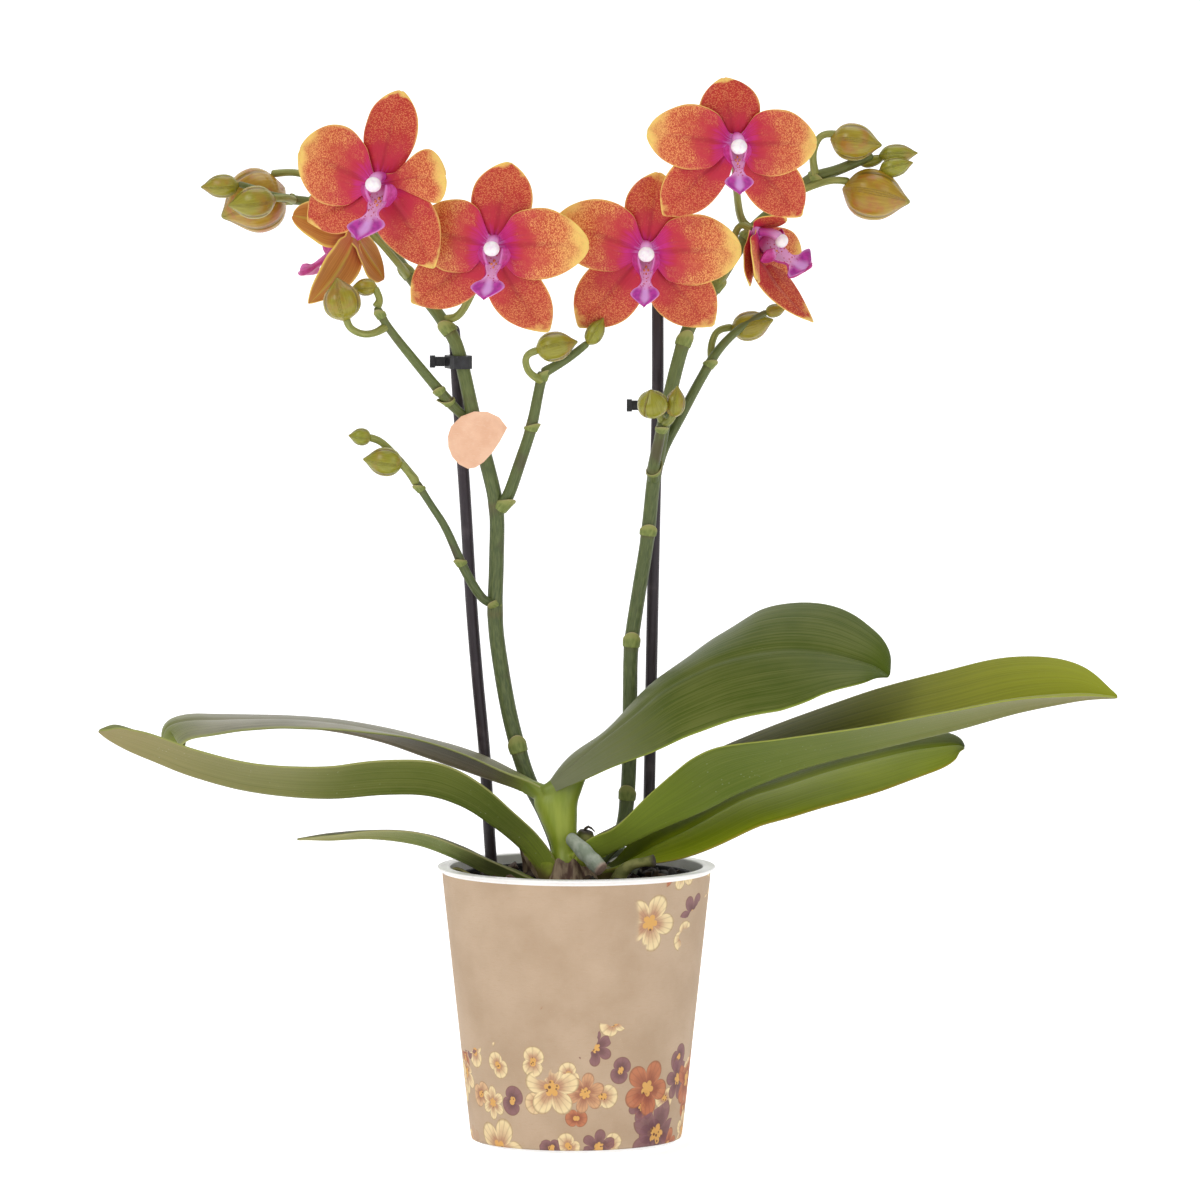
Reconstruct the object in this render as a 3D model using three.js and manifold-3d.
// A potted moth orchid with two branched flower spikes, six open blooms and tied stakes, in a
// plastic growing pot that stands in a flanged cover pot with a printed paper wrap.
// Millimetres, +Z up. The origin is the middle of the cover pot's base; the front faces -Y.
import * as THREE from "three";
import { mergeVertices } from "three/addons/utils/BufferGeometryUtils.js";
import Module from "manifold-3d";

const wasm = await Module();
wasm.setup();

// Driving dimensions.
const GAP = 0.3;
const POT = { height: 106, rimRadius: 53, topRadius: 51.4, baseRadius: 40.2, wall: 1.5, floor: 2 };
const RIM = { thick: 1.7, width: 4.8, edge: 0.4 };
const WRAP = { thick: 0.6, from: 1.2 };
const INNER = { height: 103.4, topRadius: 46.4, baseRadius: 34.5, wall: 1, floor: 1.4 };
const BARK = { top: 99.5, chips: 9, chip: 10.5, reach: 36, seed: 7 };
const STAKE = { radius: 2.3, sides: 7, steps: 9 };
const CLIP = { height: 5, wall: 1.5, tab: [3.4, 3.6], grip: [5, 4.6] };
const TAG = { width: 23, height: 22, thick: 1.2, hookOuter: 4.4, hookInner: 3.1, hookDepth: 4 };
const LEAF = { steps: 11, across: 4, rim: 0.8, clear: 0.45 };
const BLOOM = { hub: 3.3, back: 2.05, tepal: 0.75, claw: 1.7, steps: 5 };
const SIDES = { cover: 30, inner: 22, bark: 18, crown: 8, branch: 5, bud: 6, bract: 3 };

const COLOURS = {
  potWhite: [0xf2f0ec, 0.35],
  kraft: [0xc9a67e, 0.8],
  black: [0x1b1a1c, 0.5],
  bark: [0x3a251c, 0.95],
  crown: [0x8fae3c, 0.45],
  leaf: [0x5d7a34, 0.42],
  leafLight: [0x7f9a36, 0.42],
  dry: [0x8d6a4a, 0.85],
  root: [0x9aa896, 0.7],
  stem: [0x66793a, 0.5],
  tepal: [0xd9633a, 0.5],
  lip: [0xb5309c, 0.45],
  column: [0xf3dfe8, 0.4],
  stake: [0x2b2226, 0.4],
};

const root = new THREE.Group();

function addMesh(name, geometry, [colour, roughness]) {
  const material = new THREE.MeshStandardMaterial({ color: colour, roughness, metalness: 0 });
  const mesh = new THREE.Mesh(geometry, material);
  mesh.name = name;
  root.add(mesh);
}

const point = ([x, y, z]) => new THREE.Vector3(x, y, z);
const radians = THREE.MathUtils.degToRad;

// A repeatable stream of numbers from 0 to 1.
function randomFrom(seed) {
  let state = seed;
  return () => {
    state = (state * 1664525 + 1013904223) % 4294967296;
    return state / 4294967296;
  };
}

// Solids: a closed geometry becomes one that can be joined and cut.
function volumeOf(positions, triangles) {
  let sum = 0;
  const [a, b, c] = [new THREE.Vector3(), new THREE.Vector3(), new THREE.Vector3()];
  for (let i = 0; i < triangles.length; i += 3) {
    a.fromArray(positions, 3 * triangles[i]);
    b.fromArray(positions, 3 * triangles[i + 1]);
    c.fromArray(positions, 3 * triangles[i + 2]);
    sum += a.dot(b.cross(c)) / 6;
  }
  return sum;
}

function solid(geometry) {
  const bare = geometry.clone();
  for (const name of Object.keys(bare.attributes)) {
    if (name !== "position") bare.deleteAttribute(name);
  }
  const merged = mergeVertices(bare, 1e-4);
  const triVerts = new Uint32Array(merged.index.array);
  const vertProperties = new Float32Array(merged.attributes.position.array);
  if (volumeOf(vertProperties, triVerts) < 0) {
    for (let i = 0; i < triVerts.length; i += 3) {
      [triVerts[i + 1], triVerts[i + 2]] = [triVerts[i + 2], triVerts[i + 1]];
    }
  }
  return new wasm.Manifold(new wasm.Mesh({ numProp: 3, vertProperties, triVerts }));
}

function geometryOf(body) {
  const mesh = body.getMesh();
  const geometry = new THREE.BufferGeometry();
  const positions = new Float32Array(mesh.vertProperties);
  geometry.setAttribute("position", new THREE.BufferAttribute(positions, 3));
  geometry.setIndex(new THREE.BufferAttribute(new Uint32Array(mesh.triVerts), 1));
  return geometry;
}

const join = (bodies) => bodies.reduce((sum, body) => sum.add(body));
const cut = (body, cutters) => cutters.reduce((rest, cutter) => rest.subtract(cutter), body);

// The largest piece of a cut body; the loose scraps are dropped.
function largest(body) {
  const pieces = body.decompose();
  return pieces.reduce((best, piece) => (piece.volume() > best.volume() ? piece : best));
}

// Smooth reading of a list of numbers at t from 0 to 1, with the same curve that the points use.
function along(values, t) {
  const place = Math.min(t * (values.length - 1), values.length - 1 - 1e-9);
  const i = Math.floor(place);
  const s = place - i;
  const [b, c] = [values[i], values[i + 1]];
  const a = i > 0 ? values[i - 1] : 2 * b - c;
  const d = i + 2 < values.length ? values[i + 2] : 2 * c - b;
  const [inward, outward] = [(c - a) / 2, (d - b) / 2];
  const [s2, s3] = [s * s, s * s * s];
  const ends = (2 * s3 - 3 * s2 + 1) * b + (3 * s2 - 2 * s3) * c;
  return ends + (s3 - 2 * s2 + s) * inward + (s3 - s2) * outward;
}

const curveOf = (points) =>
  new THREE.CatmullRomCurve3(points.map(point), false, "catmullrom", 0.5);

// A closed skin over rings of points that all have the same number of points.
function loft(rings) {
  const sides = rings[0].length;
  const positions = [];
  const triangles = [];
  rings.flat().forEach((p) => positions.push(p.x, p.y, p.z));
  for (let r = 0; r + 1 < rings.length; r++) {
    for (let i = 0; i < sides; i++) {
      const [a, b] = [r * sides + i, r * sides + ((i + 1) % sides)];
      triangles.push(a, b, b + sides, a, b + sides, a + sides);
    }
  }
  [0, rings.length - 1].forEach((r, end) => {
    const middle = new THREE.Vector3();
    rings[r].forEach((p) => middle.add(p));
    middle.divideScalar(sides);
    positions.push(middle.x, middle.y, middle.z);
    const centre = positions.length / 3 - 1;
    for (let i = 0; i < sides; i++) {
      const [a, b] = [r * sides + i, r * sides + ((i + 1) % sides)];
      triangles.push(centre, ...(end ? [a, b] : [b, a]));
    }
  });
  const geometry = new THREE.BufferGeometry();
  geometry.setAttribute("position", new THREE.Float32BufferAttribute(positions, 3));
  geometry.setIndex(triangles);
  return geometry;
}

// A round stem along a curve. Its radius follows the list of radii, one for each point or so.
function stem(points, radii, { sides = 6, steps = 10, grow = 0, flat = 1 } = {}) {
  const curve = curveOf(points);
  const frames = curve.computeFrenetFrames(steps, false);
  const rings = [];
  for (let i = 0; i <= steps; i++) {
    const u = i / steps;
    const middle = curve.getPointAt(u);
    if (grow && i === 0) middle.addScaledVector(frames.tangents[i], -grow);
    if (grow && i === steps) middle.addScaledVector(frames.tangents[i], grow);
    const radius = along(radii, u) + grow;
    const ring = [];
    for (let k = 0; k < sides; k++) {
      const angle = (2 * Math.PI * k) / sides;
      ring.push(
        middle
          .clone()
          .addScaledVector(frames.normals[i], radius * Math.cos(angle))
          .addScaledVector(frames.binormals[i], radius * flat * Math.sin(angle)),
      );
    }
    rings.push(ring);
  }
  return solid(loft(rings));
}

// An even tube along a curve, for the stakes.
function rod(points, radius, sides, steps) {
  const shape = new THREE.Shape();
  for (let k = 0; k < sides; k++) {
    const angle = (2 * Math.PI * k) / sides;
    const [x, y] = [radius * Math.cos(angle), radius * Math.sin(angle)];
    if (k) shape.lineTo(x, y);
    else shape.moveTo(x, y);
  }
  shape.closePath();
  return solid(new THREE.ExtrudeGeometry(shape, { steps, extrudePath: curveOf(points) }));
}

// A turned body about the Z axis from [radius, height] pairs.
const turned = (profile, sides) =>
  new THREE.LatheGeometry(
    profile.map(([r, z]) => new THREE.Vector2(r, z)),
    sides,
  ).rotateX(Math.PI / 2);

// Turns a body that points along +Z to point along a direction, and puts it in its place.
function aimed(geometry, at, direction) {
  const up = new THREE.Vector3(0, 0, 1);
  const turn = new THREE.Quaternion().setFromUnitVectors(up, point(direction).normalize());
  const place = new THREE.Matrix4().compose(point(at), turn, new THREE.Vector3(1, 1, 1));
  return solid(geometry.clone().applyMatrix4(place));
}

// A thin curved plate. at(t, s) gives a point of its middle surface for t and s from 0 to 1, and
// thick(t, s) its thickness. Both faces are split into the same triangles.
function plate(at, thick, steps, across) {
  const positions = [];
  const triangles = [];
  const faces = [];
  const small = 1e-3;
  const between = (v) => Math.min(Math.max(v, 0), 1);
  for (const side of [1, -1]) {
    const face = [];
    for (let i = 0; i <= steps; i++) {
      for (let j = 0; j <= across; j++) {
        const [t, s] = [i / steps, j / across];
        const alongT = at(between(t + small), s).sub(at(between(t - small), s));
        const alongS = at(t, between(s + small)).sub(at(t, between(s - small)));
        const normal = alongT.cross(alongS).normalize();
        const p = at(t, s).addScaledVector(normal, (side * thick(t, s)) / 2);
        face.push(positions.length / 3);
        positions.push(p.x, p.y, p.z);
      }
    }
    faces.push(face);
  }
  const cell = (i, j) => i * (across + 1) + j;
  for (let i = 0; i < steps; i++) {
    for (let j = 0; j < across; j++) {
      const corners = [cell(i, j), cell(i + 1, j), cell(i + 1, j + 1), cell(i, j + 1)];
      const [a, b, c, d] = corners.map((k) => faces[0][k]);
      const [e, f, g, h] = corners.map((k) => faces[1][k]);
      triangles.push(a, b, c, a, c, d, e, g, f, e, h, g);
    }
  }
  const edge = [];
  for (let i = 0; i < steps; i++) edge.push(cell(i, 0));
  for (let j = 0; j < across; j++) edge.push(cell(steps, j));
  for (let i = steps; i > 0; i--) edge.push(cell(i, across));
  for (let j = across; j > 0; j--) edge.push(cell(0, j));
  edge.forEach((k, n) => {
    const next = edge[(n + 1) % edge.length];
    const [a, b, c, d] = [faces[0][k], faces[0][next], faces[1][next], faces[1][k]];
    triangles.push(a, d, c, a, c, b);
  });
  const geometry = new THREE.BufferGeometry();
  geometry.setAttribute("position", new THREE.Float32BufferAttribute(positions, 3));
  geometry.setIndex(triangles);
  return solid(geometry);
}

// Pots, wrap and bark.
const wallRadius = (z) =>
  POT.baseRadius + ((POT.topRadius - POT.baseRadius) * z) / (POT.height - RIM.thick);
const innerRadius = (z) =>
  INNER.baseRadius + ((INNER.topRadius - INNER.baseRadius) * (z - innerFloor)) / INNER.height;
const innerFloor = POT.floor + GAP;
const behindWrap = WRAP.thick + GAP;

function coverPot() {
  const under = POT.height - RIM.thick;
  const [inTop, inLow] = [POT.rimRadius - RIM.width, wallRadius(POT.floor) - behindWrap - POT.wall];
  return turned(
    [
      [0, 0],
      [wallRadius(0) - behindWrap - 1.2, 0],
      [wallRadius(1) - behindWrap, 1],
      [wallRadius(under) - behindWrap, under],
      [POT.rimRadius - RIM.edge, under],
      [POT.rimRadius, under + RIM.edge],
      [POT.rimRadius, POT.height - RIM.edge],
      [POT.rimRadius - RIM.edge, POT.height],
      [inTop + 0.6, POT.height],
      [inTop, POT.height - 0.8],
      [inLow, POT.floor],
      [0, POT.floor],
    ],
    SIDES.cover,
  );
}

function potWrap() {
  const top = POT.height - RIM.thick - GAP;
  return turned(
    [
      [wallRadius(WRAP.from) - WRAP.thick, WRAP.from],
      [wallRadius(WRAP.from), WRAP.from],
      [wallRadius(top), top],
      [wallRadius(top) - WRAP.thick, top],
      [wallRadius(WRAP.from) - WRAP.thick, WRAP.from],
    ],
    SIDES.cover,
  );
}

function growingPot() {
  const top = INNER.height;
  return turned(
    [
      [0, innerFloor],
      [INNER.baseRadius, innerFloor],
      [innerRadius(top - 4) - 0.5, top - 4],
      [INNER.topRadius + 0.9, top - 3.4],
      [INNER.topRadius + 0.9, top],
      [INNER.topRadius - INNER.wall, top],
      [INNER.baseRadius - INNER.wall, innerFloor + INNER.floor],
      [0, innerFloor + INNER.floor],
    ],
    SIDES.inner,
  );
}

function barkMix() {
  const low = innerFloor + INNER.floor + GAP;
  const wallGap = INNER.wall + GAP + 0.4;
  const body = turned(
    [
      [0, low],
      [innerRadius(low) - wallGap, low],
      [innerRadius(BARK.top) - wallGap, BARK.top],
      [0, BARK.top],
    ],
    SIDES.bark,
  );
  const random = randomFrom(BARK.seed);
  const chips = [];
  for (let i = 0; i < BARK.chips; i++) {
    const angle = i * 2.4;
    const far = BARK.reach * Math.sqrt((i + 0.5) / BARK.chips);
    const size = [1, 0.7, 0.5].map((share) => BARK.chip * share * (0.8 + 0.6 * random()));
    const chip = new THREE.BoxGeometry(...size);
    chip.rotateX(random() - 0.5).rotateY(random() - 0.5).rotateZ(6 * random());
    chip.translate(far * Math.cos(angle), far * Math.sin(angle), BARK.top - 0.3 + random());
    chips.push(solid(chip));
  }
  return join([solid(body), ...chips]);
}

// Leaves. Each station is [x, y, z, half width, rise of the near half, rise of the far half],
// in millimetres and degrees, along the midrib from the crown to the tip.
const LEAVES = {
  leaf_long_left: {
    stations: [
      [-8, -4, 99, 3.6, 15, 15],
      [-12, -6, 107, 4.6, 25, 25],
      [-20, -8, 114.5, 6.5, 45, 40],
      [-31, -10, 123, 10, 58, 40],
      [-42, -12.5, 130.5, 14.5, 48, 28],
      [-56, -16, 135.5, 20, 40, 18],
      [-73, -21, 136, 24, 33, 14],
      [-92, -24, 135, 26, 30, 14],
      [-110, -27, 136, 26, 29, 15],
      [-128, -30, 139, 24, 28, 18],
      [-146, -32, 144, 20, 30, 24],
      [-165, -34, 151.5, 12.5, 30, 28],
      [-180, -35, 161, 1, 30, 28],
    ],
    thick: 2,
    stalk: 1.2,
  },
  leaf_upper_left: {
    stations: [
      [-11, 1, 132, 3.4, 42, 42],
      [-18, 2.5, 134, 5, 38, 38],
      [-26, 4.5, 136, 8, 28, 30],
      [-39, 7, 140.5, 13, 20, 20],
      [-57, 10, 146, 19, 14, 14],
      [-74, 13, 151.5, 24, 6, 6],
      [-92, 17, 156, 27, 0, 2],
      [-110, 20, 158.5, 28, -3, 0],
      [-126, 22, 159.5, 26, -4, 0],
      [-141, 24, 159, 21, -6, -2],
      [-151, 25, 155.5, 14, -10, -6],
      [-156.5, 26, 147, 1, -10, -6],
    ],
    thick: 2,
    stalk: 1.6,
  },
  leaf_small_left: {
    stations: [
      [-13, -2, 97, 3, 45, 45],
      [-22, -4, 99.5, 4, 45, 45],
      [-33, -6, 102.5, 5.5, 42, 40],
      [-45, -9, 109, 7.5, 34, 30],
      [-60, -12, 115.2, 9, 26, 18],
      [-77, -14, 117.6, 8.5, 18, 12],
      [-93, -15, 117.2, 6, 12, 10],
      [-106, -16, 116.8, 1, 10, 10],
    ],
    thick: 1.6,
    stalk: 1.2,
  },
  leaf_upper_right: {
    stations: [
      [-5, 0, 132.5, 4, 30, 20],
      [-1, -3, 137.8, 6, 0, 8],
      [6, -7, 150.3, 11, -22, -4],
      [17, -12, 162.6, 18, -32, 10],
      [31, -17, 174.3, 25, -36, -2],
      [46, -20, 182.3, 30.5, -39, 2],
      [60, -22, 187.8, 33, -39, 14],
      [79, -24, 190.4, 33, -35, 29],
      [96, -25, 190, 28, -30, 33],
      [109, -26, 186.5, 19, -24, 38],
      [119, -27, 180.5, 1, -20, 38],
    ],
    thick: 2,
    stalk: 1.4,
  },
  leaf_long_right: {
    stations: [
      [3, -4, 108.5, 4.5, 25, 25],
      [10, -6, 110.5, 6.5, 45, 42],
      [19, -9, 115, 10.5, 62, 56],
      [33, -12, 121.5, 19, 62, 52],
      [48, -15, 127.5, 25.5, 60, 46],
      [63, -18, 135.5, 29, 48, 40],
      [86, -22, 145, 30.5, 29, 38],
      [114, -26, 153, 30.5, 23, 41],
      [143, -29, 160.5, 29, 19, 43],
      [168, -31, 168, 25, 14, 48],
      [189, -33, 172, 16.5, 10, 50],
      [204, -34, 172.5, 1, 10, 50],
    ],
    thick: 2,
    stalk: 1.4,
  },
  leaf_lower_right: {
    stations: [
      [8, 4, 100, 4, 45, 45],
      [17, 5, 104, 6, 20, 40],
      [29, 6, 111.5, 10, -30, 24],
      [44, 9, 119, 16, -38, 12],
      [64, 13, 129.5, 23, -25, 8],
      [80, 15, 134.5, 26.5, -21, 9],
      [96, 18, 139, 27.5, -20, 10],
      [113, 20, 144, 26, -21, 12],
      [131, 21, 148.5, 21, -23, 15],
      [142, 22, 149, 14.5, -22, 16],
      [149.5, 22, 147, 1, -20, 16],
    ],
    thick: 1.9,
    stalk: 1.6,
  },
};

function leaf({ stations, thick, stalk }, grow = 0) {
  const midrib = curveOf(stations.map((s) => s.slice(0, 3)));
  const column = (k) => stations.map((s) => s[k]);
  const [halves, nearRises, farRises] = [column(3), column(4), column(5)];
  const at = (t, s) => {
    const share = 2 * s - 1;
    const tangent = midrib.getTangent(t);
    const out = new THREE.Vector3(0, -1, 0).addScaledVector(tangent, tangent.y).normalize();
    const up = out.clone().cross(tangent);
    if (up.z < 0) up.negate();
    const rise = radians(along(share < 0 ? nearRises : farRises, t));
    const width = (along(halves, t) + grow) * Math.abs(share);
    const arch = 0.1 * along(halves, t) * (share * share - Math.abs(share));
    const end = t < 0.001 ? -grow : t > 0.999 ? grow : 0;
    return midrib
      .getPoint(t)
      .addScaledVector(tangent, end)
      .addScaledVector(out, -Math.sign(share) * width * Math.cos(rise))
      .addScaledVector(up, width * Math.sin(rise) - arch);
  };
  const thickness = (t, s) => {
    const share = Math.abs(2 * s - 1);
    const root = stalk * Math.max(0, 1 - 4 * t);
    const body = (thick + root - LEAF.rim) * (1 - share * share) * Math.min(1, 8 * (1 - t));
    return LEAF.rim + body + 2 * grow;
  };
  return plate(at, thickness, LEAF.steps, LEAF.across);
}

// The crown: a short stem that swells in the bark and opens into the folded bases of the top two
// leaves. Each ring is [height, x, y, half width, half depth].
const CROWN = [
  [88, -3, 0, 7, 7],
  [95, -3, 0, 11, 10],
  [102, -3, -1, 11.5, 9.5],
  [107, -3.5, -1, 9, 8],
  [113, -4, 0, 4.6, 5.4],
  [119, -5.6, 0.5, 5.8, 6],
  [125, -7, 1, 7.4, 6.4],
  [130, -7.8, 1, 8.2, 6.2],
  [134.5, -8, 1, 6, 4.5],
];

function crown(grow = 0) {
  const rings = CROWN.map(([z, x, y, wide, deep], k) => {
    const end = k === 0 ? -grow : k === CROWN.length - 1 ? grow : 0;
    return [...Array(SIDES.crown).keys()].map((i) => {
      const angle = (2 * Math.PI * i) / SIDES.crown;
      const [dx, dy] = [(wide + grow) * Math.cos(angle), (deep + grow) * Math.sin(angle)];
      return new THREE.Vector3(x + dx, y + dy, z + end);
    });
  });
  return solid(loft(rings));
}

// Roots, the stub of an old spike and dry leaf bases, each [points, radii, flatness].
const ROOTS = {
  root_front: [
    [[-2.5, -5, 117], [1.5, -12, 113.5], [6.5, -17, 109], [11, -20.5, 102.9]],
    [2.4, 2.8, 3.2, 3.2],
    0.6,
  ],
  root_left: [
    [[-9, 3, 96], [-16, 4.5, 105.5], [-19.5, 9, 111.5], [-19, 15.5, 107], [-17.5, 18.5, 92]],
    [2.4, 2.3, 2.2, 2.1, 2],
    1,
  ],
  root_right: [
    [[3, 10, 98], [10, 14, 107], [17, 18, 109.5], [22, 22, 104], [24, 25, 88]],
    [2.4, 2.3, 2.2, 2.2, 2],
    1,
  ],
  old_spike_stub: [
    [[9, -9, 96], [15, -13, 103], [20, -15, 107.5], [29, -17, 111]],
    [2.4, 2.6, 2.3, 1.9],
    1,
  ],
  leaf_scar_bud: [
    [[0, 6, 105], [4, 5, 112], [6, 5, 117.5], [8, 5, 121]],
    [2.6, 3.4, 3, 1.6],
    1,
  ],
};

const growthOf = ([points, radii, flat], grow = 0) =>
  stem(points, radii, { sides: 6, steps: 6, grow, flat });

// A torn collar of dry leaf bases round the foot of the crown.
function drySheath(grow = 0) {
  const teeth = 10;
  const spread = grow / 10;
  const wave = (i, size) => size * Math.sin(i * 2.7) + size * 0.6 * Math.sin(i * 5.1);
  const ring = (radius, z, ragged) =>
    [...Array(teeth).keys()].map((i) => {
      const share = i / (teeth - 1);
      const angle = Math.PI * 0.98 - spread + (Math.PI * 1.1 + 2 * spread) * share;
      const r = radius + wave(i, 0.5);
      return [-3 + r * Math.cos(angle), -1 + r * Math.sin(angle), z + wave(i, ragged)];
    });
  const [low, high] = [ring(12.6, 95 - grow, 0), ring(11.4, 106 + grow, 2.2)];
  const at = (t, s) => {
    const reading = (k) => {
      const a = along(low.map((p) => p[k]), s);
      const b = along(high.map((p) => p[k]), s);
      return a + (b - a) * t;
    };
    return new THREE.Vector3(reading(0), reading(1), reading(2));
  };
  return plate(at, () => 1 + 2 * grow, 2, teeth - 1);
}

// A dry scrap of leaf that lies over the growing pot's rim onto the bark.
const SCRAP = {
  line: [[-47.4, -3, 104.4], [-44, -4.5, 104.3], [-39, -6.5, 102], [-35.5, -8, 101.2]],
  half: 2.6,
  thick: 0.8,
};

function leafScrap(grow = 0) {
  const line = curveOf(SCRAP.line);
  const at = (t, s) => {
    const share = 2 * s - 1;
    const half = SCRAP.half * Math.sin(Math.PI * (0.15 + 0.75 * t)) + grow;
    return line.getPoint(t).add(new THREE.Vector3(0, share * half, 0.8 * share * share));
  };
  return plate(at, () => SCRAP.thick + 2 * grow, 4, 2);
}

// Spikes: stems, knuckles with bracts at the nodes, flower stalks and buds, all one growth.
// A bud is [x, y, z, direction, length, width] with its blunt end at the point.
function bud([x, y, z, direction, length, width]) {
  const shares = [0, 0.07, 0.28, 0.52, 0.78, 1];
  const girth = [0, 0.5, 0.94, 0.97, 0.6, 0];
  const profile = shares.map((share, i) => [(girth[i] * width) / 2, share * length]);
  return aimed(turned(profile, SIDES.bud), [x, y, z], direction);
}

// A bract clasps its node as a short pointed scale.
function bract([x, y, z, direction, length, width]) {
  const scale = new THREE.ConeGeometry(width / 2, length, SIDES.bract).rotateX(Math.PI / 2);
  return aimed(scale.translate(0, 0, length / 2), [x, y, z], direction);
}

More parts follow.
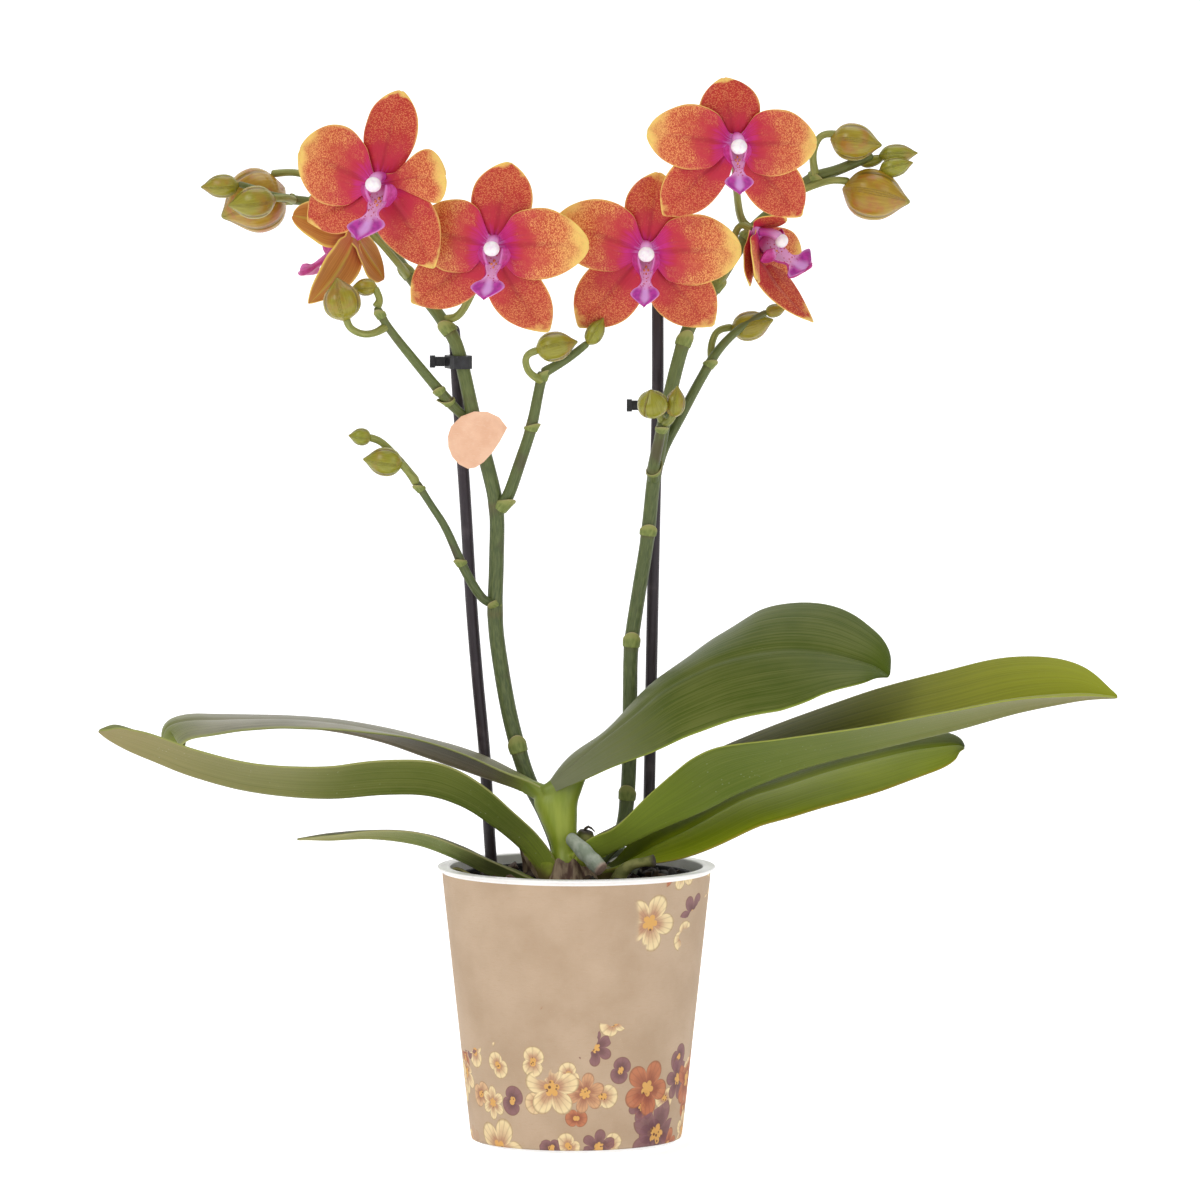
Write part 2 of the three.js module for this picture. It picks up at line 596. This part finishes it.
const SPIKES = {
  spike_left: {
    stems: [
      {
        points: [
          [-5, 4, 96], [-7, 6, 112], [-12, 10, 125], [-19, 12.5, 139], [-25, 12.5, 160],
          [-29, 11.5, 182], [-31, 10, 200], [-30.5, 8.5, 222], [-30.5, 7, 242], [-34, 5, 259],
          [-39, 4, 277], [-45, 3, 303], [-51, 4.5, 314], [-58, 9, 323], [-71, 18, 340],
          [-84, 25, 351], [-98, 25, 357.5], [-110, 19, 359.5],
        ],
        radii: [3.1, 3.1, 3, 2.9, 2.75, 2.6, 2.3, 1.9, 1.7],
        sides: 6,
        steps: 17,
      },
      {
        points: [[-109, 19, 359.5], [-116, 14, 361], [-122, 12, 363.5], [-129, 11, 365.7]],
        radii: [1.8, 1.5, 1.2],
        steps: 4,
      },
      {
        points: [
          [-30.5, 9, 205], [-36, 5.5, 208], [-42.5, 1, 219], [-49.5, -3.5, 235], [-55, -6, 244],
          [-61, -7.5, 253.5],
        ],
        radii: [1.5, 1.7, 1.5, 1.35, 1.3],
        steps: 6,
      },
      {
        points: [
          [-30.5, 7, 240], [-26.5, 4, 247], [-22, 0.5, 260], [-17.5, -2, 273], [-14.5, -3.5, 287],
          [-13, -4, 295],
        ],
        radii: [1.8, 1.7, 1.5, 1.4],
        steps: 6,
      },
      {
        points: [[-13.5, -4, 294], [-8, -5.5, 297], [-2, -7, 301], [4, -8, 304.5]],
        radii: [1.4, 1.2, 1],
        steps: 4,
      },
      {
        points: [
          [-39, 4.5, 276], [-43.5, 4.2, 278], [-50, 0, 285], [-62, -8, 300], [-71, -14, 312],
          [-75.5, -17, 320],
        ],
        radii: [1.6, 1.7, 1.5, 1.3],
        steps: 6,
      },
    ],
    flowerStalks: {
      bloom_1: [[-84, 25, 351], [-81, 14, 356]],
      bloom_2: [[-51, 4.5, 314], [-43, 0, 318]],
      bloom_6: [[-64, 13, 330], [-68, 4, 336]],
    },
    stalks: [
      [[-71.5, -14, 312.5], [-76, -17.5, 310], [-81, -20.5, 309.8], [-85.5, -22.5, 312.5], [-86.8, -23, 317]],
      [[-75.5, -17, 319.5], [-74.2, -16, 322.5], [-76, -15, 327]],
      [[-13.6, -4, 291], [-18, -9, 295], [-19, -12, 301], [-14, -12.5, 303.5]],
      [[-103, 22, 359], [-101.5, 25, 366], [-105.5, 27, 371], [-110, 27.5, 372], [-117, 27, 370]],
      [[-60.5, -7.5, 252.5], [-63, -9, 256], [-66.5, -9.5, 260.5]],
      [[-60.5, -7, 253], [-67, -3.5, 261], [-74, -4, 268], [-79, -6, 270]],
      [[-108, 19, 359], [-110, 13, 360], [-115.5, 6.5, 360.2]],
    ],
    buds: [
      [-86.7, -23, 314.5, [-0.2, 0, 1], 17, 15],
      [-75, -15, 327.4, [-1, 0, -0.05], 10, 7],
      [-65.5, -9.5, 260, [-1, 0, 0.12], 15.5, 11.5],
      [-77.5, -6, 269.7, [-1, 0, 0.1], 9, 7],
      [-15, -12.5, 303.2, [0.98, 0, 0.16], 14.5, 10.5],
      [3.5, -8, 304, [0.5, 0, 0.85], 9, 5],
      [-113.5, 28, 366.5, [-0.9, -0.1, -0.42], 25, 25],
      [-113.5, 6, 360.3, [-1, -0.05, -0.12], 21, 13.5],
      [-128, 11, 365.7, [-1, 0, -0.05], 15, 8.5],
    ],
    bracts: [
      [-22, 9.6, 149.5, [-0.3, -0.3, 0.9], 9, 8],
      [-29, 6.6, 203, [-0.5, -0.3, 0.8], 8, 7],
      [-31, 4.6, 242, [0.5, -0.3, 0.8], 8, 7],
      [-41, 1, 284, [-0.6, -0.2, 0.8], 6, 6],
      [-49, 1.5, 310, [0.5, -0.6, 0.6], 7, 7],
      [-65, 12, 332, [-0.8, -0.4, 0.4], 7, 6],
      [-44.5, -1.5, 221, [-0.6, -0.3, 0.9], 5, 4],
      [-60, -8.5, 250, [-0.2, -0.5, 0.9], 5, 5],
      [-17.5, -3.5, 273, [0.3, -0.3, 0.9], 5, 4],
      [-13, -6, 292, [0.5, -0.3, 0.8], 6, 5],
      [-52, -2.5, 287, [-0.7, -0.3, 0.6], 5, 4],
      [-74, -18, 316, [-0.4, -0.4, 0.8], 6, 5],
      [-108, 17, 358, [-0.5, -0.5, 0.7], 6, 5],
    ],
  },
  spike_right: {
    stems: [
      {
        points: [
          [2, 6, 96], [9, 11, 107], [17, 14, 117], [19.5, 14, 132], [20.3, 13, 150],
          [20.5, 12, 170], [21, 11, 190], [24, 9.5, 211], [27, 8, 230], [29.3, 7, 252],
          [31, 6.3, 262], [34, 7, 278], [38.5, 9, 297], [43, 11, 311], [50, 14, 322],
          [60, 18, 338], [67, 19, 347.5], [77, 18, 356.5], [89, 14, 367], [100, 11.5, 371],
          [113, 11, 376.5],
        ],
        radii: [2.8, 2.8, 2.75, 2.7, 2.6, 2.5, 2.3, 2.3, 2, 1.4],
        sides: 6,
        steps: 17,
      },
      {
        points: [[29.3, 7, 252], [29.5, 2, 259], [31.5, -4, 270], [33.5, -8, 278]],
        radii: [1.6, 1.6, 1.4],
        steps: 5,
      },
      {
        points: [
          [31, 6.5, 258], [34.5, 10.5, 266], [41, 15, 277], [48, 17.5, 290], [55, 18.5, 302],
          [63, 20.5, 310.5], [73, 22, 316.5],
        ],
        radii: [1.7, 1.7, 1.6, 1.4, 1.1],
        steps: 6,
      },
    ],
    flowerStalks: {
      bloom_3: [[43, 11, 311], [38, 8, 318]],
      bloom_4: [[67, 19, 347.5], [62, 10, 355]],
      bloom_5: [[54, 15.5, 328], [57, 8, 333]],
    },
    stalks: [
      [[33, -7, 276], [31, -10, 279], [29, -13, 281]],
      [[33.5, -8, 278], [36.5, -11, 279], [38.5, -12, 281]],
      [[52, 18.3, 297], [51.5, 22, 303], [54, 24.5, 309], [60, 25, 310.5]],
      [[91, 12.5, 368], [90, 9, 377], [93, 7, 384], [99.5, 6, 384.5]],
      [[83, 15, 362], [92, 11, 365.5], [98, 9, 367], [104, 8, 366.5]],
    ],
    buds: [
      [29.5, -13.5, 280, [0.1, -0.2, 0.95], 11, 10.5],
      [38.5, -12, 279.5, [0.3, 0, 0.95], 9.5, 7],
      [59, 25, 309, [0.96, 0, 0.25], 17, 12],
      [72, 22, 316, [0.95, 0, 0.22], 8.5, 5.5],
      [98, 6, 384, [1, 0, -0.1], 19, 14],
      [102, 8, 365, [1, 0, -0.18], 25, 18.5],
      [112, 11, 375, [1, 0, 0.3], 9.5, 7],
      [113, 8, 373.5, [1, -0.1, 0.35], 11, 5.5],
      [108, 12, 372.5, [1, 0, 0.35], 11, 4.5],
    ],
    bracts: [
      [19, 10.5, 131, [0, -0.2, 1], 8, 7],
      [21, 8.2, 190, [-0.3, -0.3, 0.9], 8, 7],
      [27.5, 5, 232, [0.1, -0.3, 1], 6, 6],
      [30, 4, 257, [0.2, -0.4, 0.9], 6, 6],
      [41.5, 8, 306, [-0.6, -0.5, 0.6], 8, 7],
      [53.5, 13, 325.5, [0.5, -0.4, 0.7], 7, 6],
      [66, 16.6, 344, [-0.5, -0.5, 0.7], 7, 6],
      [90, 11.3, 366, [-0.3, -0.4, 0.8], 6, 5],
      [52, 16, 296, [-0.4, -0.4, 0.8], 5, 4],
      [32.5, -7, 273, [-0.3, -0.4, 0.9], 5, 5],
    ],
  },
};

const STALK_RADII = [1.5, 1.15, 1.1, 1.25];

// The points behind a bloom where its stalk comes in: one well back, one just clear of the hub.
function stalkEnd(name) {
  const place = bloomPlace(BLOOMS[name]);
  const behind = [9, BLOOM.back + GAP / BLOOMS[name].scale];
  return behind.map((depth) => new THREE.Vector3(0, 0, -depth).applyMatrix4(place).toArray());
}

function spike({ stems, flowerStalks, stalks, buds, bracts }, grow = 0) {
  const bodies = stems.map(({ points, radii, sides = SIDES.branch, steps }) =>
    stem(points, radii, { sides, steps, grow }),
  );
  if (grow) return join(bodies);
  const stalkForm = { sides: SIDES.branch, steps: 4 };
  for (const [name, points] of Object.entries(flowerStalks)) {
    bodies.push(stem([...points, ...stalkEnd(name)], STALK_RADII, stalkForm));
  }
  stalks.forEach((points) => bodies.push(stem(points, STALK_RADII, stalkForm)));
  buds.forEach((spec) => bodies.push(bud(spec)));
  bracts.forEach((spec) => bodies.push(bract(spec)));
  return join(bodies);
}

// Blooms. A bloom's own frame has u to its right, w up and n out of its face. A tepal is
// [u and w of its tip, width, where it is widest, how far its line bows, n of its tip]. The fifth
// bloom is half open: one of its petals still hangs among the sepals.
const BLOOMS = {
  bloom_1: {
    at: [-74.5, -34, 366], yaw: -18, pitch: 10, scale: 1, lean: -2, lift: 0,
    dorsal: [9, 35.5, 20.5, 0.6, 0, -5],
    petals: [[25.5, 0.5, 19, 0.72, 1, -4], [-31, 8, 28, 0.5, -1, -4]],
    laterals: [[23, -31, 21.5, 0.6, 0, -5], [-30, -14, 20, 0.6, 0, -5]],
  },
  bloom_2: {
    at: [-31.4, -27, 343.2], yaw: -8, pitch: 12, scale: 1, lean: 0, lift: 0,
    dorsal: [5.5, 31.8, 23, 0.58, 0, -5],
    petals: [[36, 2, 28, 0.46, 1, -4], [-30, 5.5, 29, 0.48, -1, -4]],
    laterals: [[22, -34.5, 24, 0.54, 0, -5], [-32.5, -21.5, 23.5, 0.54, 0, -5]],
  },
  bloom_3: {
    at: [26.4, -15, 340.5], yaw: 0, pitch: 12, scale: 1, lean: 0, lift: 0,
    dorsal: [4.3, 30.8, 21.5, 0.58, 0, -5],
    petals: [[36.5, 1, 28, 0.48, 1, -4], [-34, 8, 28, 0.5, -1, -4]],
    laterals: [[26, -30, 23.5, 0.55, 0, -5], [-28.5, -30.5, 24, 0.55, 0, -5]],
  },
  bloom_4: {
    at: [59.6, -35, 381.5], yaw: 4, pitch: 14, scale: 1, lean: 0, lift: 0,
    dorsal: [-2.8, 28, 22.5, 0.56, 0, -5],
    petals: [[31, 3.5, 27, 0.46, 1, -4], [-34.5, 7.5, 27, 0.48, -1, -4]],
    laterals: [[26.5, -27.5, 22, 0.56, 0, -5], [-28.5, -27.5, 22, 0.56, 0, -5]],
  },
  bloom_5: {
    at: [69, 3, 347.5], yaw: 68, pitch: 14, scale: 0.92, lean: 0, lift: 5,
    dorsal: [3, 8, 15, 0.55, 0, 10],
    petals: [[21.5, -5, 19, 0.74, -3, 12]],
    laterals: [[14, -32, 17, 0.5, 0, 27], [-3, -24, 13, 0.55, 0, 5], [-8, -18, 14, 0.6, 0, 0]],
  },
  bloom_6: {
    at: [-85.5, -3, 347], yaw: -118, pitch: 14, scale: 0.84, lean: 0, lift: 5,
    dorsal: [-4, 24, 18, 0.6, 0, 4],
    petals: [[22, 6, 22, 0.5, 0, 10], [-20, 2, 20, 0.5, 0, 6]],
    laterals: [[14, -27, 22, 0.52, 0, 21], [-17, -22, 18, 0.6, 0, -1]],
  },
};

// The matrix that takes a bloom's own frame to the plant's frame.
function bloomPlace({ at, yaw, pitch, scale }) {
  const [turn, nod] = [radians(yaw), radians(pitch)];
  const u = new THREE.Vector3(Math.cos(turn), Math.sin(turn), 0);
  const flat = new THREE.Vector3(Math.sin(turn), -Math.cos(turn), 0);
  const n = flat.clone().multiplyScalar(Math.cos(nod)).add(new THREE.Vector3(0, 0, -Math.sin(nod)));
  const w = n.clone().cross(u);
  const basis = new THREE.Matrix4().makeBasis(u, w, n);
  return basis.scale(new THREE.Vector3(scale, scale, scale)).setPosition(point(at));
}

// One tepal as a plate in the bloom's frame: layer is the height of its base, arch lifts its
// middle and fold bends its edges back.
function tepal([tipU, tipW, width, widest, bow, sweep], { layer, arch, fold, across }, grow) {
  const [length, angle] = [Math.hypot(tipU, tipW), Math.atan2(tipW, tipU)];
  const skew = Math.log(0.5) / Math.log(widest);
  const at = (t, s) => {
    const reach = 0.5 * (1 - Math.cos(Math.PI * (0.12 + 0.88 * t)));
    const share = 2 * s - 1;
    const round = Math.pow(Math.max(Math.sin(Math.PI * Math.pow(reach, skew)), 0), 0.52);
    const neck = Math.min(1, 0.35 + 3 * reach);
    const half = Math.max((width / 2) * round * neck, BLOOM.claw * (1 - reach), 0.8) + grow;
    const [forward, sideways] = [length * reach, share * half + bow * Math.sin(Math.PI * reach)];
    const rise = layer + arch * Math.sin(Math.PI * reach) + (sweep - layer) * reach * reach;
    const bend = fold * share * share * Math.sin(Math.PI * reach);
    return new THREE.Vector3(
      forward * Math.cos(angle) - sideways * Math.sin(angle),
      forward * Math.sin(angle) + sideways * Math.cos(angle),
      rise - bend,
    );
  };
  return plate(at, () => BLOOM.tepal + 2 * grow, BLOOM.steps, across);
}

const SEPAL = { layer: -1.3, arch: 1.2, fold: 1.6, across: 2 };
const LATERAL = { layer: -1.6, arch: 1.2, fold: 1.6, across: 2 };
const PETAL = { layer: 0.2, arch: 2, fold: 1.2, across: 3 };

function tepals(bloom, grow = 0) {
  const hub = new THREE.SphereGeometry(BLOOM.hub + grow, 6, 3).scale(1, 1, 0.5).translate(0, 0, -0.8);
  return join([
    solid(hub),
    tepal(bloom.dorsal, SEPAL, grow),
    ...bloom.laterals.map((spec) => tepal(spec, LATERAL, grow)),
    ...bloom.petals.map((spec) => tepal(spec, PETAL, grow)),
  ]);
}

// The lip: a clawed middle lobe with an anchor-shaped end and two upright side lobes.
// Its middle line is [n, w, half width] from the foot of the column outwards.
const LIP = [
  [0.9, -2.5, 1.3], [3.3, -6.2, 2.2], [7, -9.8, 1.9], [10.5, -12, 1.7],
  [13.5, -13.2, 4.4], [15, -13.9, 6.3], [17.5, -15.6, 2.6], [19, -17, 0.7],
];

function lip({ lean, lift }) {
  const read = (k, t) => along(LIP.map((row) => row[k]), t);
  const middle = (t, s) => {
    const share = 2 * s - 1;
    const [n, w, half] = [read(0, t), read(1, t), read(2, t)];
    const wing = share * share * Math.max(0, half - 2.4);
    const [side, up] = [share * half + lean * t * t, w + lift * t * t + 0.5 * wing];
    return new THREE.Vector3(side, up, n - 0.35 * wing);
  };
  const bodies = [plate(middle, () => 1.1, 7, 2)];
  for (const side of [-1, 1]) {
    const lobe = (t, s) => {
      const spread = 3 * Math.sin(Math.PI * (0.12 + 0.8 * t)) * (2 * s - 1);
      const [outward, up] = [1.4 + 5.4 * t - 0.5 * t * t, -7.4 + 5.6 * t + 0.6 * spread];
      return new THREE.Vector3(side * outward, up, 3.9 + 2.6 * t + spread);
    };
    bodies.push(plate(lobe, () => 0.9, 2, 2));
  }
  return join(bodies);
}

// The column, a short hooded arm that ends in the pale anther cap.
function column() {
  const shaft = stem([[0, 0.6, 1.7], [0, 1.5, 4.5], [0, 1.2, 8], [0, 0, 10.4]], [2, 1.9, 2.2, 2.4], {
    sides: 6,
    steps: 3,
    flat: 0.9,
  });
  const cap = new THREE.SphereGeometry(2.6, 6, 4).scale(1, 1.05, 0.85).translate(0, -0.5, 11);
  return join([shaft, solid(cap)]);
}

// Stakes, clips and the hanging tag.
const STAKES = {
  stake_left: [
    [-25, 16, 12], [-29, 19.5, 60], [-33, 22, 108], [-35.2, 22.5, 145], [-38, 20.5, 176],
    [-40.3, 17.5, 206], [-42.5, 14, 245], [-45, 10.8, 283], [-46.5, 9, 310],
  ],
  stake_right: [
    [22, 17, 12], [25.5, 20, 60], [28, 21.5, 102], [29, 20.5, 137], [29.5, 18, 196],
    [30, 16.3, 245], [31, 16, 285], [31, 16, 322],
  ],
};

function stake([[x, y, z], ...rest], grow = 0) {
  return rod([[x, y, z - grow], ...rest], STAKE.radius + grow, STAKE.sides, STAKE.steps);
}

// A clip is a rounded block with holes for the stem and the stake, and a small grip tab.
function clip([x1, y1], [x2, y2], z, [tabX, tabY], radius) {
  const outer = radius + GAP + CLIP.wall;
  const posts = [[x1, y1], [x2, y2]].map(([x, y]) => {
    const post = new THREE.CylinderGeometry(outer, outer, CLIP.height, 10);
    return solid(post.rotateX(Math.PI / 2).translate(x, y, z));
  });
  const block = (from, to, width, height) => {
    const [dx, dy] = [to[0] - from[0], to[1] - from[1]];
    const box = new THREE.BoxGeometry(Math.hypot(dx, dy), width, height);
    box.rotateZ(Math.atan2(dy, dx));
    return solid(box.translate((from[0] + to[0]) / 2, (from[1] + to[1]) / 2, z));
  };
  const bridge = block([x1, y1], [x2, y2], 2 * outer - 0.2, CLIP.height);
  const tab = block([x2, y2], [tabX, tabY], ...CLIP.tab);
  const grip = block([tabX + 1.2, tabY], [tabX - 0.8, tabY], ...CLIP.grip);
  return join([...posts, bridge, tab, grip]);
}

// The tag: a flat rounded pick with a hook at its back that holds it on the stem.
function tag() {
  const pick = new THREE.Shape();
  const [half, tall] = [TAG.width / 2, TAG.height / 2];
  pick.moveTo(half, tall * 0.42);
  pick.bezierCurveTo(half * 0.72, tall * 1.16, -half * 0.42, tall * 1.2, -half * 0.86, tall * 0.46);
  pick.bezierCurveTo(-half * 1.14, -tall * 0.1, -half * 0.86, -tall * 0.84, -half * 0.3, -tall);
  pick.bezierCurveTo(half * 0.1, -tall * 1.06, half * 0.62, -tall * 0.42, half, tall * 0.42);
  const face = new THREE.ExtrudeGeometry(pick, {
    depth: TAG.thick,
    bevelEnabled: false,
    curveSegments: 5,
  });
  face.rotateX(Math.PI / 2).rotateZ(0.05);
  return solid(face.translate(-37.8, 0.8, 268.6));
}

function tagHook() {
  const hook = new THREE.Shape();
  hook.absarc(0, 0, TAG.hookOuter, radians(-150), radians(75), false);
  hook.absarc(0, 0, TAG.hookInner, radians(75), radians(-150), true);
  const ring = new THREE.ExtrudeGeometry(hook, {
    depth: TAG.hookDepth,
    bevelEnabled: false,
    curveSegments: 7,
  });
  return solid(ring.translate(-36.6, 4.2, 265.5));
}

// Assembly. Later pieces give way to earlier ones by the gap.
const spikeBodies = {};
for (const [name, spec] of Object.entries(SPIKES)) spikeBodies[name] = spike(spec);
const spikeCutters = Object.values(SPIKES).map((spec) => spike(spec, GAP));

const rootCutters = [];
const rootBodies = {};
for (const [name, spec] of Object.entries(ROOTS)) {
  rootBodies[name] = largest(cut(growthOf(spec), [...spikeCutters, ...rootCutters]));
  rootCutters.push(growthOf(spec, GAP));
}

const leafCutters = [];
const leafBodies = {};
for (const [name, spec] of Object.entries(LEAVES)) {
  const neighbours = [...spikeCutters, ...rootCutters, ...leafCutters];
  leafBodies[name] = largest(cut(leaf(spec), neighbours));
  leafCutters.push(leaf(spec, LEAF.clear));
}

const growthCutters = [...spikeCutters, ...rootCutters, ...leafCutters];
const crownBody = largest(cut(crown(), growthCutters));
const sheathBody = largest(cut(drySheath(), [...growthCutters, crown(GAP)]));
const stakeCutters = Object.values(STAKES).map((points) => stake(points, GAP));
const barkCutters = [...growthCutters, ...stakeCutters, crown(GAP), drySheath(GAP), leafScrap(GAP)];
const barkBody = largest(cut(barkMix(), barkCutters));

addMesh("cover_pot", coverPot(), COLOURS.potWhite);
addMesh("pot_wrap", potWrap(), COLOURS.kraft);
addMesh("growing_pot", growingPot(), COLOURS.black);
addMesh("bark_mix", geometryOf(barkBody), COLOURS.bark);
addMesh("crown", geometryOf(crownBody), COLOURS.crown);
addMesh("dry_sheath", geometryOf(sheathBody), COLOURS.dry);
addMesh("leaf_scrap", geometryOf(leafScrap()), COLOURS.dry);
for (const [name, body] of Object.entries(rootBodies)) {
  addMesh(name, geometryOf(body), COLOURS.root);
}
for (const [name, body] of Object.entries(leafBodies)) {
  addMesh(name, geometryOf(body), name.includes("right") ? COLOURS.leafLight : COLOURS.leaf);
}
for (const [name, body] of Object.entries(spikeBodies)) {
  addMesh(name, geometryOf(body), COLOURS.stem);
}

for (const [name, bloom] of Object.entries(BLOOMS)) {
  const place = bloomPlace(bloom);
  const put = (body) => geometryOf(body).applyMatrix4(place);
  addMesh(`${name}_tepals`, put(tepals(bloom)), COLOURS.tepal);
  const clearance = [tepals(bloom, GAP)];
  addMesh(`${name}_lip`, put(largest(cut(lip(bloom), clearance))), COLOURS.lip);
  addMesh(`${name}_column`, put(largest(cut(column(), clearance))), COLOURS.column);
}

for (const [name, points] of Object.entries(STAKES)) {
  addMesh(name, geometryOf(stake(points)), COLOURS.stake);
}
const [spikeLeftCut, spikeRightCut] = spikeCutters;
const [stakeLeftCut, stakeRightCut] = stakeCutters;
const clipLeft = clip([-43.8, 3], [-46, 9.7], 298, [-55, 9.7], 2.6);
const clipRight = clip([34.6, 7.3], [31, 16], 281, [20, 15], 2.6);
addMesh("clip_left", geometryOf(cut(clipLeft, [spikeLeftCut, stakeLeftCut])), COLOURS.black);
addMesh("clip_right", geometryOf(cut(clipRight, [spikeRightCut, stakeRightCut])), COLOURS.black);
const tagBody = largest(cut(join([tag(), tagHook()]), [spikeLeftCut, stakeLeftCut]));
addMesh("tag", geometryOf(tagBody), COLOURS.kraft);

export default root;
